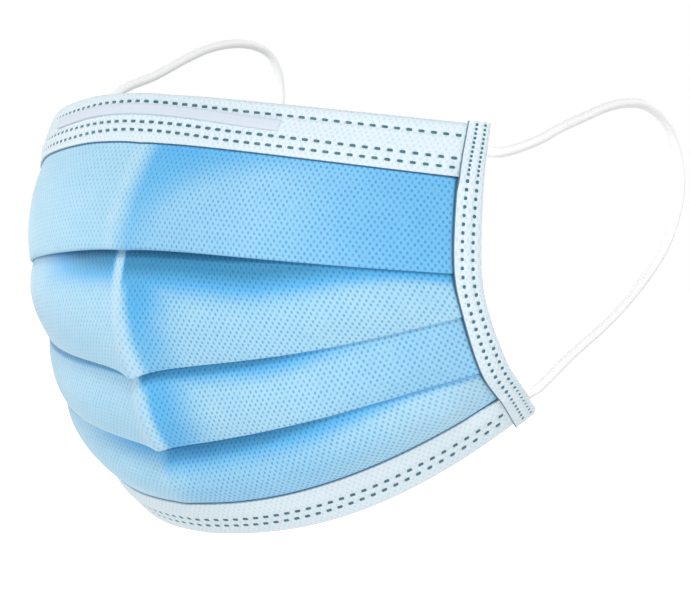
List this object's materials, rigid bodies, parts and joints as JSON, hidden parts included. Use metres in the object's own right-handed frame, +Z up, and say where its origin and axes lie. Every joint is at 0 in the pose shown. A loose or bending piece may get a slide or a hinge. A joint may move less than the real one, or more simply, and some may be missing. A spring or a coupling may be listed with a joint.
{
  "type": "pleated face mask",
  "caption": "Disposable pleated face mask in its worn form: blue cloth panel with folded pleats, white edge bindings, bendable nose wire and round elastic ear loops.",
  "frame": {"origin": "middle of the top edge, where the mask rests on the bridge of the nose", "axes": "+Z up, +Y towards the wearer's face, +X towards the wearer's left"},
  "size_m": [0.1473, 0.1466, 0.1296],
  "materials": {
    "panel_cloth": "embossed nonwoven, matte",
    "binding_cloth": "embossed nonwoven, matte",
    "nose_wire_sleeve": "smooth nonwoven over a wire",
    "elastic": "knitted elastic cord"
  },
  "bodies": {
    "root": {"face_panel_upper": "panel_cloth", "face_panel_lower": "panel_cloth", "top_binding": "binding_cloth", "bottom_binding": "binding_cloth", "side_binding_left": "binding_cloth", "side_binding_right": "binding_cloth", "nose_wire": "nose_wire_sleeve", "ear_loop_left": "elastic", "ear_loop_right": "elastic"}
  },
  "joints": []
}
